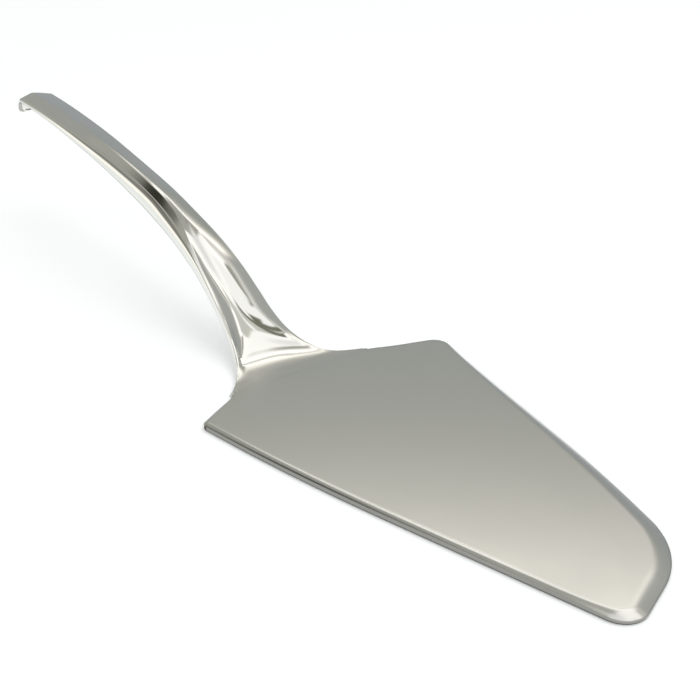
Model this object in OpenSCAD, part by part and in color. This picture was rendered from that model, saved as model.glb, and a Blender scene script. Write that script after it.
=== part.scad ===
// Sheet-steel cake server: a flat one-sided blade butt-welded to a pressed,
// open handle that rises from the heel and ends in a bent-down lip.
// Origin at the middle of the bounding box's bottom face, +X to the tip, +Z up.

/* [Sheet] */
// Thickness of the blade and of the handle's root
sheet_t = 1.6; // [1.2:0.1:2.4]
// Thickness of the pressed handle at its end
handle_t = 1.2; // [0.8:0.1:1.6]

/* [Blade] */
// Length of the blade from the weld to the tip's corner
blade_l = 105; // [85:1:125]
// Reach of the straight edge from the handle's middle line, at the heel
straight_w = 28.2; // [22:0.2:34]
// Reach of the curved edge from the handle's middle line, at the heel
curved_w = 39.7; // [32:0.2:46]
// Radius of the rounded corner at the tip
tip_r = 5; // [2:0.5:8]
// Radius where the curved edge turns into the slanted tip
nose_r = 22; // [12:1:24]
// Radius of the heel corner at the straight edge
straight_heel_r = 1.8; // [0.5:0.1:4]
// Radius of the heel corner at the curved edge
curved_heel_r = 4; // [1:0.5:6]
// Radius of the slight bow of the straight edge
bow_r = 480; // [200:10:490]
// Width of the ground bevel at its widest, round the nose
bevel_w = 3.2; // [1.5:0.1:4.5]
// Drop of the ground bevel at the edge
bevel_h = 0.8; // [0.3:0.1:1]

/* [Weld] */
// Reach of the weld from the middle line on the straight edge's side
root_straight_w = 16.2; // [13:0.2:18]
// Reach of the weld from the middle line on the curved edge's side
root_curved_w = 20.4; // [17:0.2:23]
// Width of the weld at the top face
weld_top_w = 0.7; // [0.3:0.1:1.2]
// Width of the weld at the bottom face
weld_bottom_w = 2.4; // [1.4:0.1:3.4]
// Size of the nick that the weld leaves at its end
nick = 1.4; // [0.6:0.1:2]

/* [Handle line] */
// Length of the flat root between the weld and the bend
root_run = 2.8; // [2:0.1:6]
// Radius of the bend that turns the neck up
rise_r = 22; // [16:0.5:30]
// Angle by which that bend turns the neck up
rise_angle = 40; // [32:0.5:45]
// Length of the straight stretch above the bend
neck_run = 5; // [2:0.5:10]
// Radius of the arm's first curve, above the neck
neck_r = 73; // [60:1:90]
// Angle of the arm's first curve
neck_angle = 20; // [14:0.5:22]
// Radius of the arm's middle curve
arm_r = 167; // [130:1:220]
// Angle of the arm's middle curve
arm_angle = 7.5; // [4:0.5:9]
// Radius of the arm's last curve
end_r = 456; // [380:1:520]
// Angle of the arm's last curve
end_angle = 9; // [5:0.5:9.5]
// Radius of the bend at the lip
lip_r = 3; // [2.2:0.1:5]
// Angle by which the lip is bent down
lip_angle = 92; // [70:1:100]
// Length of the straight lip below its bend
lip_run = 1.2; // [0.6:0.1:4]

/* [Handle section] */
// Half the width of the arm
arm_half_w = 5.3; // [4.5:0.1:7]
// Length over which the root flares out
flare_l = 28; // [22:1:34]
// Height of the crease above the sides
crease_h = 1.1; // [0.3:0.1:1.6]
// Depth of the scoop in the neck, below its creases
scoop_d = 0.9; // [0.2:0.1:1.2]
// Depth of the rolled-down sides below the sheet, at their deepest
wall_d = 2.4; // [0.8:0.1:3]
// Width of the rolled shoulder where the sides turn down
shoulder_w = 1.5; // [0.8:0.1:2]

/* [Hidden] */

over = 1;
steel = [0.78, 0.79, 0.78];
pressed_steel = [0.70, 0.71, 0.70];
weld_steel = [0.60, 0.60, 0.58];

// A smooth curve through a table: rows of a place and its values, eased between rows
function row_at(t, rows, i = 0) =
    i >= len(rows) - 2 || t < rows[i + 1][0] ? i : row_at(t, rows, i + 1);
function slope(rows, i, c) =
    let (a = max(i - 1, 0), b = min(i + 1, len(rows) - 1))
    (rows[b][c] - rows[a][c]) / (rows[b][0] - rows[a][0]);
function eased(t, rows, c) =
    let (u = min(max(t, rows[0][0]), rows[len(rows) - 1][0]),
         i = row_at(u, rows), g = rows[i + 1][0] - rows[i][0], v = (u - rows[i][0]) / g,
         p = rows[i][c], q = rows[i + 1][c])
    p * (1 - v) * (1 - v) * (1 + 2 * v) + q * v * v * (3 - 2 * v)
        + g * slope(rows, i, c) * v * (1 - v) * (1 - v)
        - g * slope(rows, i + 1, c) * v * v * (1 - v);

// A corner [x, y, r] between its two neighbours, as the points of its arc;
// the arc takes no more than a share of either side
side_share = 0.8;
function unit(v) = v / norm(v);
function corner(a, b, c, steps) =
    let (p = [b[0], b[1]], to_a = [a[0], a[1]] - p, to_c = [c[0], c[1]] - p,
         u = unit(to_a), w = unit(to_c), half = acos(u * w) / 2,
         r = min(b[2], side_share * min(norm(to_a), norm(to_c)) * tan(half)),
         middle = p + unit(u + w) * r / sin(half), from = p + u * r / tan(half) - middle,
         side = sign(u[0] * w[1] - u[1] * w[0]))
    r == 0 ? [p]
        : [for (k = [0:steps])
            let (t = side * k / steps * (2 * half - 180))
            middle + [from[0] * cos(t) - from[1] * sin(t), from[0] * sin(t) + from[1] * cos(t)]];

// The blade's outline, in shares of its length and of its reach on either side;
// the places next to the weld are shares of the way from the root to the heel
heel_bend_share = 0.34;
straight_bend_share = 0.14;
heel_x_shares = [0.028, 0.064];
curved_shares = [[0.649, 0.655], [0.918, 0.438]];
curved_bend_share = 10 / 3;
heel_bend_r = 60;
straight_bend_r = 4;
tip_share = 0.191;
bow_shares = [0.335, 0.837];
straight_heel_x_shares = [0.0714, 0.02];
heel_bend_y = root_curved_w + heel_bend_share * (curved_w - root_curved_w);
straight_bend_y = root_straight_w + straight_bend_share * (straight_w - root_straight_w);
nick_x_share = 0.6;
nick_y_share = 0.42;

blade_corners = [
    [0, root_curved_w, 0],
    [heel_x_shares[0] * blade_l, heel_bend_y, heel_bend_r],
    [heel_x_shares[1] * blade_l, curved_w, curved_heel_r],
    [curved_shares[0][0] * blade_l, curved_shares[0][1] * curved_w, curved_bend_share * blade_l],
    [curved_shares[1][0] * blade_l, curved_shares[1][1] * curved_w, nose_r],
    [blade_l, -tip_share * straight_w, tip_r],
    [bow_shares[0] * blade_l, -bow_shares[1] * straight_w, bow_r],
    [straight_heel_x_shares[0] * blade_l, -straight_w, straight_heel_r],
    [straight_heel_x_shares[1] * blade_l, -straight_bend_y, straight_bend_r],
    [nick_x_share * nick, -root_straight_w - nick_y_share * nick, 0],
    [0, nick - root_straight_w, 0]];
arc_steps = 10;
blade_outline =
    let (c = blade_corners, n = len(c))
    [for (i = [0:n - 1]) each corner(c[(i + n - 1) % n], c[i], c[(i + 1) % n], arc_steps)];

// The handle's line in the plane of its rise, as stretches of a length and a turn
degree = PI / 180;
stretches = [
    [root_run, 0, 4], [rise_r * rise_angle * degree, rise_angle, 9], [neck_run, 0, 2],
    [neck_r * neck_angle * degree, -neck_angle, 8], [arm_r * arm_angle * degree, -arm_angle, 6],
    [end_r * end_angle * degree, -end_angle, 12],
    [lip_r * lip_angle * degree, -lip_angle, 7], [lip_run, 0, 3]];
lip_stretch = len(stretches) - 2;
function total(rows, n) = n == 0 ? 0 : rows[n - 1][0] + total(rows, n - 1);
arm_l = total(stretches, lip_stretch);
line_l = total(stretches, len(stretches));
function step(p, a, length, turn) =
    turn == 0 ? [p[0] - length * cos(a), p[1] + length * sin(a), a]
        : let (r = length / (turn * degree))
          [p[0] + r * (sin(a) - sin(a + turn)), p[1] + r * (cos(a) - cos(a + turn)), a + turn];
function line_at(s, i = 0, p = [0, 0, 0]) =
    let (row = stretches[i], last = i == len(stretches) - 1)
    s <= row[0] || last ? step(p, p[2], s, row[1] * s / row[0])
        : line_at(s - row[0], i + 1, step(p, p[2], row[0], row[1]));
stations = [
    for (i = [0:len(stretches) - 1]) for (k = [0:stretches[i][2] - 1])
        total(stretches, i) + stretches[i][0] * k / stretches[i][2],
    line_l];

// Share of the root's flare left at shares of its length: place, straight side, curved side
flare_shares = [
    [0, 1, 1], [0.08, 0.80, 0.68], [0.16, 0.63, 0.49], [0.25, 0.44, 0.37],
    [0.39, 0.23, 0.235], [0.56, 0.09, 0.12], [0.76, 0.02, 0.03], [1, 0, 0]];
// Along the arm: place, half width, crease on the straight side, crease on the curved side,
// their heights, scoop, depth of the sides, width of the shoulder, lift of the edge
arm_shares = [
    [0.000, 1.22, -0.95, 0.95, 0.00, 0.00, 0.00, 0.00, 0.20, 0.00],
    [0.050, 1.22, -0.95, 0.95, 0.00, 0.04, 0.25, 0.00, 0.20, 0.30],
    [0.100, 1.22, -0.95, 0.86, 0.00, 0.45, 0.75, 0.00, 0.20, 0.75],
    [0.150, 1.22, -0.95, 0.38, 0.00, 0.85, 1.00, 0.00, 0.20, 1.00],
    [0.200, 1.20, -0.95, 0.18, 0.00, 1.00, 1.00, 0.02, 0.25, 1.00],
    [0.260, 1.10, -0.93, 0.08, 0.10, 1.00, 1.00, 0.35, 0.45, 1.00],
    [0.330, 1.02, -0.80, -0.08, 0.45, 1.00, 0.60, 0.62, 0.80, 1.00],
    [0.400, 0.95, -0.60, -0.22, 0.85, 1.00, 0.15, 0.85, 1.00, 1.00],
    [0.450, 0.91, -0.46, -0.26, 1.00, 1.00, 0.00, 1.00, 1.00, 1.00],
    [0.600, 0.91, -0.46, -0.26, 1.00, 1.00, 0.00, 0.67, 1.00, 1.00],
    [0.720, 0.96, -0.42, -0.22, 0.90, 0.90, 0.00, 0.37, 0.90, 1.00],
    [0.860, 0.985, -0.36, -0.16, 0.80, 0.80, 0.00, 0.12, 0.75, 1.00],
    [1.000, 1.00, -0.36, -0.16, 0.70, 0.70, 0.00, 0.00, 0.65, 1.00]];

function flare_at(s, side) = eased(s / flare_l, flare_shares, side);
function half_w(s, side) =
    let (own = arm_half_w * eased(s / arm_l, arm_shares, 1),
         root = side == 1 ? root_straight_w : root_curved_w)
    own + (root - arm_half_w * arm_shares[0][1]) * flare_at(s, side);
function thick(s) = sheet_t + (handle_t - sheet_t) * min(1, s / arm_l);
function form(s, c) = eased(s / arm_l, arm_shares, c);

// The lip's corners: the sides draw in over the last stretch
lip_corner_share = 0.35;
function lip_in(s) =
    let (r = lip_corner_share * arm_half_w, v = max(0, s - line_l + r) / r)
    r * (1 - sqrt(max(0, 1 - v * v)));

// Upper outline across the handle at one station, from side to side, as [y, h]
shoulder_steps = 4;
scoop_steps = 6;
function across(s) =
    let (t = thick(s), d = t + wall_d * form(s, 7), a = shoulder_w * form(s, 8),
         wl = half_w(s, 1) - lip_in(s), wr = half_w(s, 2) - lip_in(s),
         yl = form(s, 2) * (wl - a), cr = form(s, 3), yr = cr * ((cr > 0 ? wr : wl) - a),
         hl = crease_h * form(s, 4), hr = crease_h * form(s, 5), deep = scoop_d * form(s, 6),
         lift = d / 2 * form(s, 9))
    [for (k = [0:shoulder_steps - 1]) let (u = 90 * k / shoulder_steps)
        [a - wl - a * cos(u), lift - d + d * sin(u)],
     [a - wl, lift],
     [(a - wl + yl) / 2, lift + hl / 2],
     for (k = [0:scoop_steps]) let (v = k / scoop_steps)
        [yl + (yr - yl) * v, lift + hl + (hr - hl) * v - deep * 4 * v * (1 - v)],
     [(wr - a + yr) / 2, lift + hr / 2],
     for (k = [0:shoulder_steps]) let (u = 90 - 90 * k / shoulder_steps)
        [wr - a + a * cos(u), lift - d + d * sin(u)]];

// Lower outline of the same station, from side to side: the sheet's thickness below
rim_share = 0.6;
function below(s) =
    let (t = thick(s), d = t + wall_d * form(s, 7), a = shoulder_w * form(s, 8), b = rim_share * a,
         wl = half_w(s, 1) - lip_in(s), wr = half_w(s, 2) - lip_in(s), lift = d / 2 * form(s, 9),
         top = across(s), n = len(top), from = t + b - wl, width = wl + wr - 2 * (t + b),
         flat = wl + wr - 2 * a)
    [for (k = [0:shoulder_steps - 1]) let (u = 90 * k / shoulder_steps)
        [from - b * cos(u), lift - d + (d - t) * sin(u)],
     for (i = [shoulder_steps:n - shoulder_steps - 1])
        [from + (top[i][0] + wl - a) * width / flat, top[i][1] - t],
     for (k = [1:shoulder_steps]) let (u = 90 - 90 * k / shoulder_steps)
        [wr - t - b + b * cos(u), lift - d + (d - t) * sin(u)]];

// One closed ring of the handle; at the root it leans back along the weld's groove
function reverse(v) = [for (i = [len(v) - 1:-1:0]) v[i]];
function lean(s, h) =
    max(0, 1 - s / root_run) * (weld_top_w - (weld_bottom_w - weld_top_w) * h / sheet_t) / 2;
function ring(s) =
    let (p = line_at(s))
    [for (c = concat(across(s), reverse(below(s))))
        [p[0] + c[1] * sin(p[2]) - lean(s, c[1]), c[0], p[1] + c[1] * cos(p[2])]];
handle_rings = [for (s = stations) ring(s)];

// The box round the whole tool, from which its own middle is found
function low(rows, c) = min([for (p = rows) p[c]]);
function high(rows, c) = max([for (p = rows) p[c]]);
handle_low_x = min([for (r = handle_rings) low(r, 0)]);
middle_x = (high(blade_outline, 0) + handle_low_x) / 2;
middle_y = (high(blade_outline, 1) + low(blade_outline, 1)) / 2;
place = [-middle_x, -middle_y, sheet_t];
module placed() translate(place) children();

// A solid through closed rings of as many points each. Its ends are closed by quads across the
// ring, each split from the nearer side, so that a bent ring with straight rims closes too
function end_strip(n) =
    n == 3 ? [[0, 1, 2]]
        : [for (k = [0:n / 2 - 2]) let (far = n - 1 - k)
            each k < n / 4 ? [[k, k + 1, far], [k + 1, far - 1, far]]
                : [[k, k + 1, far - 1], [k, far - 1, far]]];
module skin(rings) {
    n = len(rings[0]);
    last = len(rings) - 1;
    polyhedron(
        points = [for (r = rings) each r],
        faces = [
            each end_strip(n),
            for (j = [0:last - 1]) for (i = [0:n - 1])
                each let (a = j * n + i, b = j * n + (i + 1) % n) [[a, b + n, b], [a, a + n, b + n]],
            for (f = end_strip(n)) reverse([for (i = f) last * n + i])]);
}

// The ground edge runs from the curved heel round the nose and back along the straight edge:
// its place, width and drop in shares
bevel_shares = [
    [0, 0.20, 0.50], [0.03, 0.32, 0.80], [0.20, 0.42, 1], [0.34, 0.62, 1], [0.43, 1, 1],
    [0.50, 1, 1], [0.54, 0.70, 0.90], [0.57, 0.26, 0.50], [0.60, 0.15, 0.40], [1, 0.15, 0.40]];
bevel_step = 5;
edge_first = 2 * (arc_steps + 1);
edge_last = 6 * (arc_steps + 1) + 1;
edge = [
    for (i = [edge_first:edge_last - 1])
        let (p = blade_outline[i], q = blade_outline[i + 1], n = max(1, ceil(norm(q - p) / bevel_step)))
        for (k = [0:n - 1]) p + (q - p) * (k + 0.5) / n];
function run(i) = i == 0 ? 0 : run(i - 1) + norm(edge[i] - edge[i - 1]);
edge_l = run(len(edge) - 1);
function outward(i) =
    let (d = unit(edge[min(i + 1, len(edge) - 1)] - edge[max(i - 1, 0)])) [-d[1], d[0]];
// One triangle across the edge: above the face inside, below the bevel outside, above it outside
function bevel_ring(i) =
    let (t = run(i) / edge_l, w = bevel_w * eased(t, bevel_shares, 1),
         h = bevel_h * eased(t, bevel_shares, 2), p = edge[i], o = outward(i), rise = over * h / w)
    [for (c = [[-w - over, rise], [over, -h - rise], [over, over + rise]])
        [p[0] + o[0] * c[0], p[1] + o[1] * c[0], c[1]]];

// The groove that the weld fills, as a bar across the heel
module weld_bar(from_y, to_y) {
    translate([0, to_y, 0]) rotate([90, 0, 0])
        linear_extrude(to_y - from_y)
            polygon([
                [-weld_top_w / 2, 0], [weld_top_w / 2, 0],
                [weld_bottom_w / 2, -sheet_t], [-weld_bottom_w / 2, -sheet_t]]);
}
function heel_edge_y(x) = root_curved_w + (heel_bend_y - root_curved_w) * x / blade_corners[1][0];

module blade() {
    color(steel) placed() difference() {
        translate([0, 0, -sheet_t]) linear_extrude(sheet_t) polygon(blade_outline);
        weld_bar(-straight_w, curved_w);
        skin([for (i = [0:len(edge) - 1]) bevel_ring(i)]);
    }
}

module handle() {
    color(pressed_steel) skin([for (r = handle_rings) [for (p = r) p + place]]);
}

module heel_weld() {
    half = weld_bottom_w / 2;
    start = nick - root_straight_w;
    color(weld_steel) placed() intersection() {
        weld_bar(start, curved_w);
        translate([0, 0, -sheet_t]) linear_extrude(sheet_t)
            polygon([
                [-half, start], [half, start], [half, heel_edge_y(half)],
                [0, root_curved_w], [-half, root_curved_w]]);
    }
}

blade();
handle();
heel_weld();
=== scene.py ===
import math

import bpy
import numpy as np
from mathutils import Matrix, Vector


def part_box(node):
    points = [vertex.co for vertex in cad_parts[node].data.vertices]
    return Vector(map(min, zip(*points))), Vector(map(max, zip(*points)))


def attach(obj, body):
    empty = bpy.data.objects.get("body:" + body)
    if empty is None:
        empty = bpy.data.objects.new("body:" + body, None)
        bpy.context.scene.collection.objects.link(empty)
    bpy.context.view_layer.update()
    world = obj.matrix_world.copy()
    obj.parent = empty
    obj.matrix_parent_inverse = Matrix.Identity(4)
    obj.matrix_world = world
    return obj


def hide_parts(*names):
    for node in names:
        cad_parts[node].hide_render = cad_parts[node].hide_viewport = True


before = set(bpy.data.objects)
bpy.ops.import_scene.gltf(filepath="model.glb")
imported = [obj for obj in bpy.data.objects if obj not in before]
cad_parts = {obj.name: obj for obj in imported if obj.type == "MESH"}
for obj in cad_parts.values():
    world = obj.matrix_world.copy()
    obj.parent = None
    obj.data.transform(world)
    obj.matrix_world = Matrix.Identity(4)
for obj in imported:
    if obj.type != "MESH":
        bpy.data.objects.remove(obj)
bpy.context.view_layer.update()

mm = 0.001      # in metres
metre = 1000.0  # in millimetres

# Lengths in these tables are in millimetres, and turns and angles in degrees
sheet = {
    "thick": 1.6,       # blade and root
    "handleThick": 1.2, # handle's end
}

blade = {
    "length": 105.0,
    "straightReach": 28.2,
    "curvedReach": 39.7,
    "tipR": 5.0,
    "noseR": 22.0,
    "straightHeelR": 1.8,
    "curvedHeelR": 4.0,
    "bowR": 480.0,
    "curvedBendR": 350.0,
    "heelBendR": 60.0,
    "straightBendR": 4.0,
    "bevelWidth": 3.2,
    "bevelDrop": 0.8,
    "arcLimitShare": 0.8,  # of its shorter side, the most that an arc may take
    "heelRound": 0.15,     # rounding of the heel's edges
    "heelFade": 4,         # power by which that grows into the ground edge
    "weldEdge": 0.01,      # what is left of it at the weld
    "underRound": 0.45,    # rounding of the lower edge
    "flatRing": 0.4,       # a flat ring inside the ground edge
    "edgeDark": 0.6,       # how much of the dark edge colour (a dark cut edge and painted shade) the side face takes, against 1 at the heel
    "sharpAngle": 32,
    "arcSteps": 24,
    "underSteps": 5,
    "around": 900,         # points round the ground edge
    "heelAround": 160,
    "across": 14,          # points over the ground edge
}

# The outline's corners between the weld's two ends, round the curved side and back: place, as a
# share of the length, and reach, as a share of that side's, below 0 on the straight side.
# heelBend and straightBend lie that share of the way out from the root's reach to the blade's
cornerShares = {
    "heelBend": (0.028, 0.34),
    "curvedHeel": (0.064, 1),
    "curvedBend": (0.649, 0.655),
    "nose": (0.918, 0.438),
    "tip": (1, -0.191),
    "bow": (0.335, -0.837),
    "straightHeel": (0.0714, -1),
    "straightBend": (0.02, -0.14),
}

root = {
    "straightReach": 16.2,
    "curvedReach": 20.4,
    "weldTop": 0.7,
    "weldBottom": 2.4,
    "nick": 1.4,
    "nickShareX": 0.6,
    "nickShareY": 0.42,
}

handle = {
    "halfWidth": 5.3,
    "flareLength": 28.0,
    "crease": 1.1,
    "scoop": 0.9,
    "wall": 2.4,
    "shoulder": 1.5,
    "bulge": 0.10,           # of the facet on the curved side
    "dressedTo": 8.0,        # ground over from the weld as far as this
    "dressedFade": 5.0,      # and fading over the last of it
    "lipCornerShare": 0.22,  # of half the width
    "rimShare": 0.6,         # the lower shoulder, of the upper one
    "sharpAngle": 38,
    "fewestSteps": 6,        # on one stretch of the line
    "stepsPerMm": 1.6,
    "shoulderSteps": 10,
    "facetSteps": 8,
    "scoopSteps": 18,
}

# Stretches of the handle's line: radius (or length where straight) and turn; the last two are
# the lip
handleLine = [
    (2.8, 0.0), (22.0, 40.0), (5.0, 0.0), (73.0, -20.0),
    (167.0, -7.5), (456.0, -9.0), (3.0, -92.0), (1.2, 0.0)]

# The root's flare: place, straight side, curved side
flareShares = np.array([
    (0, 1, 1), (0.08, 0.80, 0.68), (0.16, 0.63, 0.49), (0.25, 0.44, 0.37),
    (0.39, 0.23, 0.235), (0.56, 0.09, 0.12), (0.76, 0.02, 0.03), (1, 0, 0)])

# Along the arm: place, half width, creases on the straight and curved side, their heights,
# scoop, depth of the sides, width of the shoulder, lift of the edge; then the scoop's own
# form: how far its low point leans to the curved side, and how flat its floor is
armShares = np.array([
    (0.000, 1.22, -0.95, 0.95, 0.00, 0.00, 0.00, 0.00, 0.20, 0.00, 0.7, 5.0),
    (0.030, 1.22, -0.95, 0.95, 0.00, 0.00, 0.12, 0.00, 0.20, 0.12, 0.6, 5.0),
    (0.050, 1.22, -0.95, 0.95, 0.00, 0.04, 0.50, 0.00, 0.20, 0.30, 0.5, 5.0),
    (0.070, 1.22, -0.95, 0.90, 0.00, 0.16, 1.05, 0.00, 0.20, 0.50, 0.5, 5.0),
    (0.100, 1.22, -0.95, 0.74, 0.00, 0.45, 1.55, 0.00, 0.20, 0.75, 0.85, 3.0),
    (0.150, 1.22, -0.95, 0.38, 0.00, 0.85, 1.75, 0.00, 0.20, 1.00, 1.2, 1.9),
    (0.190, 1.20, -0.95, 0.20, 0.00, 1.00, 1.50, 0.02, 0.25, 1.00, 1.3, 1.8),
    (0.225, 1.16, -0.95, 0.13, 0.03, 1.00, 1.25, 0.15, 0.35, 1.00, 1.2, 1.8),
    (0.260, 1.10, -0.93, 0.08, 0.06, 1.00, 1.05, 0.35, 0.45, 1.00, 1.0, 1.9),
    (0.295, 1.06, -0.86, 0.00, 0.17, 1.00, 0.70, 0.50, 0.62, 1.00, 1.0, 2.0),
    (0.330, 1.02, -0.77, -0.08, 0.35, 1.00, 0.26, 0.62, 0.80, 1.00, 1.0, 2.0),
    (0.365, 0.98, -0.60, -0.16, 0.64, 1.00, 0.00, 0.74, 0.92, 1.00, 1.0, 2.0),
    (0.400, 0.95, -0.44, -0.22, 0.85, 1.00, 0.00, 0.85, 1.00, 1.00, 1.0, 2.0),
    (0.450, 0.91, -0.46, -0.26, 0.92, 1.00, 0.00, 1.00, 1.00, 1.00, 1.0, 2.0),
    (0.600, 0.91, -0.42, -0.28, 0.96, 1.00, 0.00, 0.67, 1.00, 1.00, 1.0, 2.0),
    (0.720, 0.96, -0.38, -0.26, 0.88, 0.90, 0.00, 0.37, 0.90, 1.00, 1.0, 2.0),
    (0.860, 0.985, -0.32, -0.20, 0.86, 0.86, 0.00, 0.12, 0.75, 1.00, 1.0, 2.0),
    (1.000, 1.00, -0.30, -0.20, 0.90, 0.90, 0.00, 0.00, 0.65, 1.00, 1.0, 2.0)])

# The ground edge round the outline: place, width, drop, and its bow, 1 for a flat bevel and 2
# for a round one
bevelShares = np.array([
    (0, 0.20, 0.50, 1.6), (0.03, 0.45, 0.80, 1.6), (0.10, 0.60, 1, 1.6), (0.20, 0.75, 1, 1.6),
    (0.34, 0.95, 1, 1.6), (0.43, 1.05, 1, 1.6), (0.50, 1, 1, 1.6), (0.54, 0.75, 0.90, 1.8),
    (0.57, 0.55, 0.60, 2.3), (0.60, 0.50, 0.50, 2.5), (1, 0.50, 0.50, 2.5)])


# A smooth curve through a table: cubic between rows, with the slope of the rows on either side
def eased(t, rows, column):
    x, y = rows[:, 0], rows[:, column]
    slope = np.empty(len(x))
    slope[1:-1] = (y[2:] - y[:-2]) / (x[2:] - x[:-2])
    slope[0], slope[-1] = (y[1] - y[0]) / (x[1] - x[0]), (y[-1] - y[-2]) / (x[-1] - x[-2])
    u = np.clip(t, x[0], x[-1])
    i = np.clip(np.searchsorted(x, u, side="right") - 1, 0, len(x) - 2)
    gap = x[i + 1] - x[i]
    v = (u - x[i]) / gap
    return (y[i] * (1 - v) ** 2 * (1 + 2 * v) + y[i + 1] * v * v * (3 - 2 * v)
            + gap * slope[i] * v * (1 - v) ** 2 - gap * slope[i + 1] * v * v * (1 - v))


def unit(v):
    return v / np.linalg.norm(v, axis=-1, keepdims=True)


# The outline's corners, each with its radius, from the weld round the curved side and back
def bladeCorners():
    corners = [(0, root["curvedReach"], 0)]
    for name, (along, reach) in cornerShares.items():
        side = "curvedReach" if reach > 0 else "straightReach"
        y = reach * blade[side]
        if name in ("heelBend", "straightBend"):
            y = math.copysign(root[side], reach) + reach * (blade[side] - root[side])
        corners.append((along * blade["length"], y, blade[name + "R"]))
    nick, straight = root["nick"], root["straightReach"]
    return corners + [
        (root["nickShareX"] * nick, -straight - root["nickShareY"] * nick, 0), (0, nick - straight, 0)]


# Each corner becomes an arc that touches both its sides: start turned about the arc's middle
def outlineArcs():
    corners = bladeCorners()
    arcs = []
    for i, (x, y, r) in enumerate(corners):
        p = np.array((x, y))
        toBefore = np.array(corners[i - 1][:2]) - p
        toAfter = np.array(corners[(i + 1) % len(corners)][:2]) - p
        u, w = unit(toBefore), unit(toAfter)
        half = math.acos(u @ w) / 2
        shorter = min(np.linalg.norm(toBefore), np.linalg.norm(toAfter))
        r = min(r, blade["arcLimitShare"] * shorter * math.tan(half))
        if r == 0:
            arcs.append(p[None])
            continue
        middle = p + unit(u + w) * r / math.sin(half)
        start = p + u * r / math.tan(half) - middle
        side = np.sign(u[0] * w[1] - u[1] * w[0])
        t = side * np.linspace(0, 1, blade["arcSteps"] + 1) * (2 * half - math.pi)
        c, s = np.cos(t), np.sin(t)
        arcs.append(middle + np.stack([start[0] * c - start[1] * s, start[0] * s + start[1] * c], 1))
    return arcs


# Points spread evenly along an open path, by its running length
def evenly(path, count):
    run = np.concatenate([[0], np.cumsum(np.linalg.norm(np.diff(path, axis=0), axis=1))])
    at = np.linspace(0, run[-1], count)
    return np.stack([np.interp(at, run, path[:, c]) for c in range(2)], 1)


# Places along the handle's line: running length, x, z and the heading a, which turns evenly
# along each arc, so x falls by the integral of cos a and z rises by that of sin a
def handleStations():
    x = z = a = s = armLength = 0.0
    parts = []
    last = len(handleLine) - 1
    for i, (size, turn) in enumerate(handleLine):
        turned = math.radians(turn)
        length = size * abs(turned) if turn else size
        steps = max(handle["fewestSteps"], round(handle["stepsPerMm"] * length), round(abs(turn)))
        v = np.arange(steps + (i == last)) / steps
        b = a + turned * v
        end = a + turned
        if turn:
            radius = length / turned
            px, pz = x + radius * (math.sin(a) - np.sin(b)), z + radius * (math.cos(a) - np.cos(b))
            x, z = x + radius * (math.sin(a) - math.sin(end)), z + radius * (math.cos(a) - math.cos(end))
        else:
            px, pz = x - length * v * math.cos(a), z + length * v * math.sin(a)
            x, z = x - length * math.cos(a), z + length * math.sin(a)
        parts.append(np.stack([s + length * v, px, pz, b], 1))
        s, a = s + length, end
        if i == last - 2:
            armLength = s
    return np.concatenate(parts), armLength, s


# The section at every station, as y and height above the line: a quarter round shoulder, a
# facet, the scoop as a leaning bowl between its creases, a facet raised by 4 f (1 - f) of the
# bulge at share f of its width, and a shoulder; the lower outline is the upper one, narrower
# and lower by the sheet's thickness
def handleSection(s, armLength, lineLength):
    h, t = handle, s / armLength
    form = lambda c: eased(t, armShares, c)[:, None]
    thick = (sheet["thick"] + (sheet["handleThick"] - sheet["thick"]) * np.minimum(1, t))[:, None]
    depth = thick + h["wall"] * form(7)
    a = h["shoulder"] * form(8)
    corner = h["lipCornerShare"] * h["halfWidth"]
    drawn = corner * (1 - np.sqrt(1 - np.clip((s - lineLength + corner) / corner, 0, 1) ** 2))
    own = h["halfWidth"] * eased(t, armShares, 1) - drawn
    rootHalf = h["halfWidth"] * armShares[0, 1]
    left = (own + (root["straightReach"] - rootHalf) * eased(s / h["flareLength"], flareShares, 1))[:, None]
    right = (own + (root["curvedReach"] - rootHalf) * eased(s / h["flareLength"], flareShares, 2))[:, None]
    yl = form(2) * (left - a)
    share = form(3)
    yr = share * (np.where(share > 0, right, left) - a)
    hl, hr, deep = h["crease"] * form(4), h["crease"] * form(5), h["scoop"] * form(6)
    lift = depth / 2 * form(9)
    u = np.linspace(0, math.pi / 2, h["shoulderSteps"] + 1)[None]
    f = (np.arange(1, h["facetSteps"]) / h["facetSteps"])[None]
    v = np.linspace(0, 1, h["scoopSteps"] + 1)[None]
    dip = deep * (1 - np.abs(2 * v ** form(10) - 1) ** form(11))
    y = np.concatenate([
        a - left - a * np.cos(u), (a - left) * (1 - f) + yl * f, yl + (yr - yl) * v,
        yr * (1 - f) + (right - a) * f, right - a + a * np.cos(u[:, ::-1])], 1)
    bulge = h["bulge"] * form(5) * 4 * f * (1 - f)
    up = np.concatenate([
        lift - depth + depth * np.sin(u), lift + hl * f, lift + hl + (hr - hl) * v - dip,
        lift + hr * (1 - f) + bulge, lift - depth + depth * np.sin(u[:, ::-1])], 1)
    n = h["shoulderSteps"]
    b = h["rimShare"] * a
    start, width, flat = thick + b - left, left + right - 2 * (thick + b), left + right - 2 * a
    yLow = start + (y + left - a) * width / flat
    yLow[:, :n] = (start - b * np.cos(u))[:, :n]
    yLow[:, -n:] = (right - thick - b + b * np.cos(u[:, ::-1]))[:, 1:]
    upLow = up - thick
    upLow[:, :n] = (lift - depth + (depth - thick) * np.sin(u))[:, :n]
    upLow[:, -n:] = (lift - depth + (depth - thick) * np.sin(u[:, ::-1]))[:, 1:]
    return y, up, yLow, upLow


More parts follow.
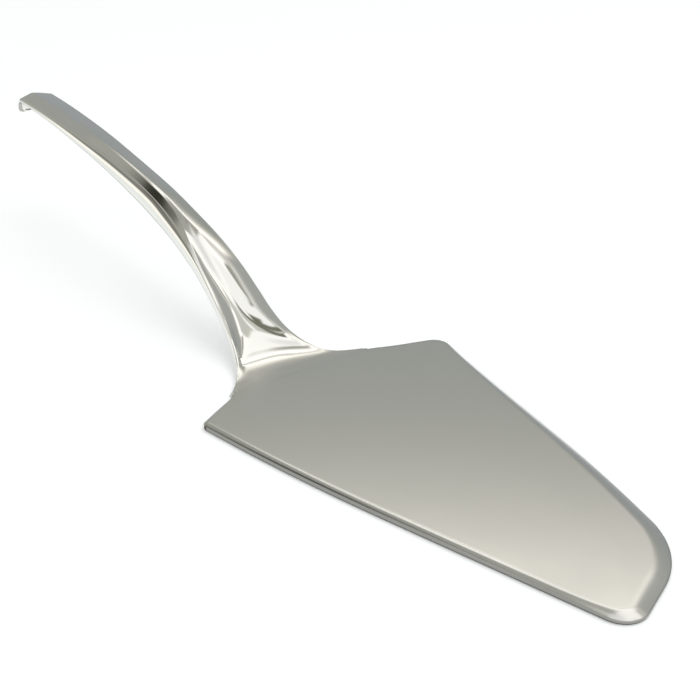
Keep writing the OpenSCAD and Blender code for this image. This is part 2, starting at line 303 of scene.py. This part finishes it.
# Faces of a grid of rows by columns points whose columns close into a ring
def ringQuads(rows, columns):
    r, c = np.meshgrid(np.arange(rows - 1), np.arange(columns), indexing="ij")
    a, b = r * columns + c, r * columns + (c + 1) % columns
    return np.stack([a, b, b + columns, a + columns], -1).reshape(-1, 4)


# One smooth piece of steel; edges sharper than sharpAngle stay sharp, and the marks, one number
# for each point, say where its surface is another: dark on cut edges, where the blade's lower
# round, side face and heel also carry painted shade, and dressed beside the weld
def steelPiece(name, points, faces, marks, sharpAngle):
    mesh = bpy.data.meshes.new(name)
    mesh.from_pydata((points * mm).tolist(), [], faces)
    mesh.polygons.foreach_set("use_smooth", np.ones(len(mesh.polygons), bool))
    for mark, values in marks.items():
        layer = mesh.attributes.new(mark, "FLOAT", "POINT")
        layer.data.foreach_set("value", values.ravel().astype(np.float32))
    mesh.set_sharp_from_angle(angle=math.radians(sharpAngle))
    mesh.update()
    piece = bpy.data.objects.new(name, mesh)
    bpy.context.scene.collection.objects.link(piece)
    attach(piece, "root")
    print(name, len(mesh.vertices), "points", len(mesh.polygons), "faces")
    return piece


# The weld's middle lies where the outline meets the solid blade's far sides
arcs = outlineArcs()
bladeHigh = np.array(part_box("blade")[1]) / mm
place = np.array((*(bladeHigh[:2] - np.concatenate(arcs).max(0)), sheet["thick"]))
print("weld's middle at", np.round(place, 3))


# The section is carried along the line; at the root it leans back to the groove's slope
def makeHandle():
    stations, armLength, lineLength = handleStations()
    s, x, z, a = stations.T
    y, up, yLow, upLow = handleSection(s, armLength, lineLength)
    across = np.concatenate([y, yLow[:, ::-1]], 1)
    height = np.concatenate([up, upLow[:, ::-1]], 1)
    slope = (root["weldBottom"] - root["weldTop"]) / sheet["thick"]
    lean = np.maximum(0, 1 - s / handleLine[0][0])[:, None] * (root["weldTop"] - slope * height) / 2
    sa, ca = np.sin(a)[:, None], np.cos(a)[:, None]
    points = np.stack([x[:, None] + height * sa - lean, across, z[:, None] + height * ca], -1)
    rows, columns = across.shape
    k = np.arange(columns // 2 - 1)
    cap = np.stack([k, k + 1, columns - 2 - k, columns - 1 - k], 1)
    faces = np.concatenate([ringQuads(rows, columns)[:, ::-1], cap, (cap + (rows - 1) * columns)[:, ::-1]])
    cut = np.zeros((rows, columns))
    cut[:, [0, columns // 2 - 1, columns // 2, columns - 1]] = 1
    dressed = np.clip((handle["dressedTo"] - s) / handle["dressedFade"], 0, 1)
    marks = {"cut": cut, "dressed": dressed[:, None] * np.ones(columns)}
    return steelPiece(
        "pressed_handle", points.reshape(-1, 3) + place, faces.tolist(), marks, handle["sharpAngle"])


# Rings go round the outline: a quarter round up from the underside, the side face, then inward
# over the ground edge, where the height at share v of the width is -drop (1 - v) ** bow, and
# one flat ring; the ring at each end closes with one face
def makeBlade():
    weldHalf = np.array((root["weldTop"] / 2, 0))
    ground = evenly(np.concatenate([arcs[2][-1:], *arcs[3:7], arcs[7][:1]]), blade["around"])
    start = evenly(np.concatenate([arcs[0] + weldHalf, arcs[1], arcs[2]]), blade["heelAround"])
    heel = evenly(np.concatenate([arcs[7], arcs[8], arcs[9], arcs[10] + weldHalf]), blade["heelAround"])
    path = np.concatenate([start[:-1], ground, heel[1:]])
    t = np.linspace(0, 1, blade["around"])
    fade = np.linspace(0, 1, blade["heelAround"] - 1) ** blade["heelFade"]
    profile = []
    for column, size in ((1, "bevelWidth"), (2, "bevelDrop")):
        own = blade[size] * eased(t, bevelShares, column)
        profile.append(np.concatenate([
            blade["heelRound"] * (1 - fade) + own[0] * fade, own,
            own[-1] * fade[::-1] + blade["heelRound"] * (1 - fade[::-1])]))
    width, drop = profile
    width[0] = width[-1] = drop[0] = drop[-1] = blade["weldEdge"]
    bow = eased(np.concatenate([np.zeros(len(fade)), t, np.ones(len(fade))]), bevelShares, 3)
    along = unit(np.roll(path, -1, 0) - np.roll(path, 1, 0))
    inward = np.stack([along[:, 1], -along[:, 0]], 1)
    v = np.linspace(0, 1, blade["across"])[:, None]
    q = np.linspace(0, math.pi / 2, blade["underSteps"] + 1)[:, None]
    under = np.minimum(blade["underRound"], width)
    insets = np.concatenate([under * (1 - np.sin(q)), width * v, [width + blade["flatRing"]]])
    heights = np.concatenate([
        under * (1 - np.cos(q)) - sheet["thick"], -drop * (1 - v) ** bow, [0 * width]])
    points = np.concatenate([path + inward * insets[..., None], heights[..., None]], -1)
    rows, columns = heights.shape
    faces = ringQuads(rows, columns)[:, ::-1].tolist()
    faces += [list(range(columns)), list(range(rows * columns - 1, (rows - 1) * columns - 1, -1))]
    # The dark edge colour on the lower round, the side face and the heel's face is two things: a dark cut
    # edge, and painted shade for the shadow under the edge and the shaded heel
    cut = np.zeros((rows, columns))
    cut[:len(q)] = 1
    cut[len(q) - 1:len(q) + 1] = blade["edgeDark"]
    cut[:len(q) + 1, :blade["heelAround"]] = cut[:len(q) + 1, -blade["heelAround"]:] = 1
    return steelPiece(
        "ground_blade", points.reshape(-1, 3) + place, faces, {"cut": cut}, blade["sharpAngle"])


bladePiece = makeBlade()
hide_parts("blade")
handlePiece = makeHandle()
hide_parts("handle")


# A node's output; sums, differences and products of wires add their Math nodes
class Wire:
    def __init__(self, tree, socket=None):
        self.tree, self.socket = tree, socket

    # Any node: its settings first, then the values or wires of its sockets; gives one output
    def node(self, kind, settings={}, sockets={}, out=0):
        made = self.tree.nodes.new("ShaderNode" + kind)
        for name, value in settings.items():
            if name == "stops":
                ramp = made.color_ramp.elements
                for _ in value[2:]:
                    ramp.new(0.5)
                for element, (at, colour) in zip(ramp, value):
                    element.position, element.color = at, (*colour, 1)
            else:
                setattr(made, name, value)
        for name, value in sockets.items():
            if isinstance(value, Wire):
                self.tree.links.new(value.socket, made.inputs[name])
            else:
                made.inputs[name].default_value = value
        return Wire(self.tree, made.outputs[out] if made.outputs else None)

    def math(self, operation, *values):
        return self.node("Math", {"operation": operation}, dict(enumerate(values)))

    def __add__(self, other):
        return self.math("ADD", self, other)

    def __radd__(self, other):
        return self.math("ADD", other, self)

    def __sub__(self, other):
        return self.math("SUBTRACT", self, other)

    def __rsub__(self, other):
        return self.math("SUBTRACT", other, self)

    def __mul__(self, other):
        return self.math("MULTIPLY", self, other)

    def __rmul__(self, other):
        return self.math("MULTIPLY", other, self)

    # 0 below low and 1 above high, with a soft turn at either end
    def between(self, low, high):
        soft = {"interpolation_type": "SMOOTHSTEP"}
        return self.node("MapRange", soft, {"Value": self, 1: low, 2: high})

    # The first colour where this wire is 0, the other where it is 1
    def mixed(self, colour, other):
        return self.node("Mix", {"data_type": "RGBA"}, {0: self, 6: colour, 7: other}, 2)

    def stretched(self, x, y, z, turn=0.0):
        return self.node("Mapping", {}, {"Vector": self, "Rotation": (0, 0, math.radians(turn)),
                                         "Scale": (x, y, z)})

    def noise(self, scale, detail=2.0, rough=0.5):
        sockets = {"Vector": self, "Scale": scale, "Detail": detail, "Roughness": rough}
        return self.node("TexNoise", {}, sockets)


def opaque(colour):
    return (*colour, 1)


# Polished sheet steel with long hairlines, fainter wipes across them, a cloudy polish, a few
# specks, dark cut edges, which on the blade also carry painted shade, and a stretch ground over
# beside the weld
def steelFinish(name, look):
    material = bpy.data.materials.new(name)
    material.use_nodes = True
    tree = material.node_tree
    tree.nodes.clear()
    at = Wire(tree).node("TexCoord", out=3)
    long, fine = 1 / look["hairLength"], 1 / look["hairWidth"]
    hairs = at.stretched(long, fine, fine, look["hairTurn"]).noise(metre, *look["hairNoise"])
    long, fine = 1 / look["wipeLength"], 1 / look["wipeWidth"]
    wipes = at.stretched(long, fine, fine, look["wipeTurn"]).noise(metre, *look["wipeNoise"])
    cloud = at.noise(metre / look["cloudSize"], *look["cloudNoise"])
    grain = at.noise(metre / look["grainSize"], *look["grainNoise"])
    dots = at.node("TexVoronoi", {}, {"Vector": at, "Scale": metre / look["speckGap"]})
    chance = at.noise(metre / look["speckGap"] / look["speckPatch"], 0)
    specks = (1 - dots.between(0.0, look["speckSize"])) * chance.between(*look["speckChance"])
    # The dark edge mark: cut edges, and on the blade also painted shade under and beside its edge
    cut = at.node("Attribute", {"attribute_name": "cut"}, out=2)
    dressed = at.node("Attribute", {"attribute_name": "dressed"}, out=2)
    tone = cloud.between(*look["cloudSpan"]).mixed(opaque(look["colour"]), opaque(look["clouded"]))
    tone = (specks * look["speckStrength"]).mixed(tone, opaque(look["speck"]))
    middle = 0.5  # of a noise
    rough = (look["roughness"] + (cloud - middle) * look["cloudRough"]
             + (hairs - middle) * look["hairRough"])
    tone = dressed.mixed(tone, opaque(look["dressedColour"]))
    tone = cut.mixed(tone, opaque(look["cutShadeColour"]))
    rough = rough + dressed * look["dressedRough"] + cut * look["cutRough"]
    height = hairs * look["hairDepth"] + wipes * look["wipeDepth"] + grain * look["grainDepth"]
    bump = at.node("Bump", {}, {"Height": height * mm, "Strength": 1.0, "Distance": 1.0})
    shader = at.node("BsdfPrincipled", {}, {
        "Base Color": tone, "Metallic": 1.0, "Roughness": rough, "Normal": bump})
    at.node("OutputMaterial", {}, {"Surface": shader})
    return material


bladeLook = {
    "colour": (0.74, 0.735, 0.71),
    "clouded": (0.70, 0.70, 0.675),
    "speck": (0.10, 0.09, 0.07),
    # Nearly black: a dark cut edge together with painted shade, the shadow under the blade's edge
    "cutShadeColour": (0.05, 0.045, 0.035),
    "dressedColour": (0.72, 0.715, 0.69),
    "dressedRough": 0.0,
    "roughness": 0.20,
    "cloudRough": 0.06,
    "hairRough": 0.05,
    "cutRough": 0.2,
    "hairLength": 22.0,      # mm, as the other lengths here
    "hairWidth": 0.12,
    "hairTurn": 4.0,
    "hairNoise": (3, 0.6),   # detail and roughness, here and below
    "wipeLength": 11.0,
    "wipeWidth": 0.24,
    "wipeTurn": 38.0,
    "wipeNoise": (2, 0.55),
    "cloudSize": 26.0,
    "cloudNoise": (3, 0.55),
    "cloudSpan": (0.3, 0.7), # of the noise, from clear to clouded
    "grainSize": 0.5,
    "grainNoise": (2, 0.6),
    "speckGap": 9.0,
    "speckSize": 0.055,      # of the gap
    "speckPatch": 3,         # size of a patch of specks, in gaps
    "speckChance": (0.58, 0.62),
    "speckStrength": 0.8,
    "hairDepth": 0.00025,
    "wipeDepth": 0.00012,
    "grainDepth": 0.00008,
}

handleLook = {
    **bladeLook,
    "colour": (0.82, 0.815, 0.79),
    "clouded": (0.79, 0.785, 0.76),
    "cutShadeColour": (0.5, 0.49, 0.47),
    "roughness": 0.10,
    "dressedRough": 0.10,
    "hairLength": 30.0,
    "wipeLength": 15.0,
    "wipeTurn": -20.0,
    "cloudSize": 18.0,
    "speckSize": 0.03,
}

bladeSteel = steelFinish("ground_blade_steel", bladeLook)
handleSteel = steelFinish("pressed_handle_steel", handleLook)
weldSteel = steelFinish("dressed_weld_steel", bladeLook)
bladePiece.data.materials.append(bladeSteel)
handlePiece.data.materials.append(handleSteel)
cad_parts["heel_weld"].data.materials.clear()
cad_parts["heel_weld"].data.materials.append(weldSteel)
print("steel finishes made")


studio = {
    "floorSize": 4.0,               # metres, as the lamp's sizes
    "floorDrop": 0.00003,
    "floorColour": (0.90, 0.93, 0.955),
    "floorGlow": 0.25,
    "lampFrom": (0.55, 0.25, 1.0),  # direction of the soft box
    "lampAway": 1.0,
    "lampSize": 0.9,
    "lampWatts": 2.2,
    "tentLevel": 1.8,
    "darkFrom": (-0.545, -0.22, 0.81),  # direction of a dark spot in the tent
    "darkEdge": (0.980, 0.998),         # its rim and its core, as cosines
    "darkColour": (0.02, 0.02, 0.015),
}

# The tent by the sine of the elevation: grey low down, bright half way up, dimmer overhead
tentStops = [
    (0.00, (0.21, 0.22, 0.23)), (0.34, (0.195, 0.208, 0.21)), (0.46, (0.195, 0.206, 0.193)),
    (0.51, (0.205, 0.211, 0.196)), (0.545, (0.247, 0.249, 0.227)), (0.575, (0.347, 0.339, 0.308)),
    (0.60, (0.545, 0.527, 0.484)), (0.63, (0.88, 0.845, 0.785)), (0.67, (0.98, 0.955, 0.905)),
    (0.78, (0.74, 0.73, 0.71)), (0.95, (0.66, 0.655, 0.64)), (0.985, (0.54, 0.54, 0.53)),
    (1.00, (0.50, 0.50, 0.50))]

# Panels in the tent, each over those before it: azimuth from and to, elevation from and to, how
# far the panel's level rises per degree of azimuth, softness, colour
tentPanels = [
    (74, 108, 24, 44, 0.0, 4.0, (0.235, 0.24, 0.23)),
    (156, 190, 22, 80, 0.0, 4.0, (0.213, 0.218, 0.203)),
    (122, 160, 58, 80, 0.0, 5.0, (0.245, 0.245, 0.22)),
    (-190, -118, 16, 78, 0.0, 5.0, (0.235, 0.235, 0.21)),
    (-152, -118, 20, 50, 0.0, 5.0, (0.13, 0.13, 0.115)),
    (-130, -88, 16, 42, 0.0, 3.0, (0.15, 0.15, 0.135)),
    (-152, -118, -5, 14, 0.0, 4.0, (0.70, 0.68, 0.62)),
    (-15, 66, 38, 62, 0.0, 2.0, (0.37, 0.37, 0.34)),
    (-41, 66, -5, 40, 0.0, 2.0, (0.10, 0.10, 0.075)),
    (-41, -15, 38, 62, 0.0, 2.0, (0.10, 0.10, 0.075)),
    (-90, -41, 13, 62, 0.0, 3.0, (0.62, 0.62, 0.61)),
    (-45, -27, 44, 62, 0.0, 2.0, (0.62, 0.62, 0.61)),
    (-100, -62, 8, 27, 0.0, 3.0, (0.10, 0.10, 0.075)),
    (-52, 22, 13, 53, 0.7, 1.5, (0.62, 0.62, 0.61)),
    (98, 158, 41.5, 46.0, 0.0, 1.0, (0.39, 0.385, 0.36)),
    (70, 98, 44.5, 49.5, 0.0, 1.0, (0.19, 0.19, 0.165)),
]


# Camera and transmission rays see plain white, and the steel mirrors the tent
def makeWorld():
    world = bpy.data.worlds.new("light_tent")
    bpy.context.scene.world = world
    world.use_nodes = True
    tree = world.node_tree
    tree.nodes.clear()
    toward = Wire(tree).node("TexCoord", out=0)
    x, y, z = (toward.node("SeparateXYZ", {}, {"Vector": toward}, k) for k in range(3))
    degree = math.degrees(1)
    around = y.math("ARCTAN2", y, x) * degree
    above = z.math("ARCSINE", z) * degree
    tent = z.node("ValToRGB", {"stops": tentStops}, {"Fac": z})
    dark = Vector(studio["darkFrom"]).normalized()
    nearness = toward.node("VectorMath", {"operation": "DOT_PRODUCT"}, {0: toward, 1: dark}, 1)
    for left, right, low, high, tilt, soft, colour in tentPanels:
        level = above - around * tilt
        inside = (around.between(left - soft, left + soft) * (1 - around.between(right - soft, right + soft))
                  * level.between(low - soft, low + soft) * (1 - level.between(high - soft, high + soft)))
        tent = inside.mixed(tent, opaque(colour))
    tent = nearness.between(*studio["darkEdge"]).mixed(tent, opaque(studio["darkColour"]))
    light = toward.node("Background", {}, {"Color": tent, "Strength": studio["tentLevel"]})
    white = toward.node("Background", {}, {"Color": opaque((1, 1, 1)), "Strength": 1.0})
    camera, passing = toward.node("LightPath", out=0), toward.node("LightPath", out=6)
    seen = toward.math("MAXIMUM", camera, passing)
    mix = toward.node("MixShader", {}, {0: seen, 1: light, 2: white})
    toward.node("OutputWorld", {}, {"Surface": mix})


# A matt table, lightened a little for camera, glossy and transmission rays alone
def makeFloor():
    half = studio["floorSize"] / 2
    corners = [(-half, -half, 0), (half, -half, 0), (half, half, 0), (-half, half, 0)]
    mesh = bpy.data.meshes.new("floor")
    mesh.from_pydata(corners, [], [(0, 1, 2, 3)])
    floor = bpy.data.objects.new("floor", mesh)
    floor.location.z = -studio["floorDrop"]
    bpy.context.scene.collection.objects.link(floor)
    material = bpy.data.materials.new("white_table")
    material.use_nodes = True
    tree = material.node_tree
    tree.nodes.clear()
    start = Wire(tree)
    matt = start.node("BsdfDiffuse", {}, {"Color": opaque(studio["floorColour"])})
    camera, glossy, passing = (start.node("LightPath", out=k) for k in (0, 3, 6))
    glow = start.node("Emission", {}, {"Color": opaque((1, 1, 1)), "Strength": studio["floorGlow"]})
    lit = start.node("AddShader", {}, {0: matt, 1: glow})
    seen = start.math("MAXIMUM", start.math("MAXIMUM", camera, glossy), passing)
    mix = start.node("MixShader", {}, {0: seen, 1: matt, 2: lit})
    start.node("OutputMaterial", {}, {"Surface": mix})
    mesh.materials.append(material)


# A round soft box that faces the object and isn't mirrored in it
def makeLamp():
    lamp = bpy.data.lights.new("soft_box", "AREA")
    lamp.shape = "DISK"
    lamp.size = studio["lampSize"]
    lamp.energy = studio["lampWatts"]
    box = bpy.data.objects.new("soft_box", lamp)
    away = Vector(studio["lampFrom"]).normalized()
    box.location = away * studio["lampAway"]
    box.visible_glossy = False
    box.rotation_euler = away.to_track_quat("Z", "Y").to_euler()
    bpy.context.scene.collection.objects.link(box)


view = {
    "eye": (0.204048, -0.129273, 0.118611),  # metres
    "right": (0.60182, 0.79864, 0.0),
    "down": (0.35635, -0.26853, -0.89493),
    "lens": 56.571,
    "sensor": 36.0,
    "nearest": 0.01,                         # metres
}


# The camera stands at the eye and looks against the cross product of right and up
def makeCamera():
    camera = bpy.data.objects.new("camera", bpy.data.cameras.new("camera"))
    camera.data.sensor_width = view["sensor"]
    camera.data.lens = view["lens"]
    camera.data.clip_start = view["nearest"]
    right, up = Vector(view["right"]).normalized(), -Vector(view["down"]).normalized()
    turned = Matrix((right, up, right.cross(up))).transposed().to_4x4()
    turned.translation = view["eye"]
    camera.matrix_world = turned
    bpy.context.scene.collection.objects.link(camera)
    bpy.context.scene.camera = camera


makeWorld()
makeFloor()
makeLamp()
makeCamera()
bpy.context.scene.view_settings.view_transform = "Standard"
print("studio made")
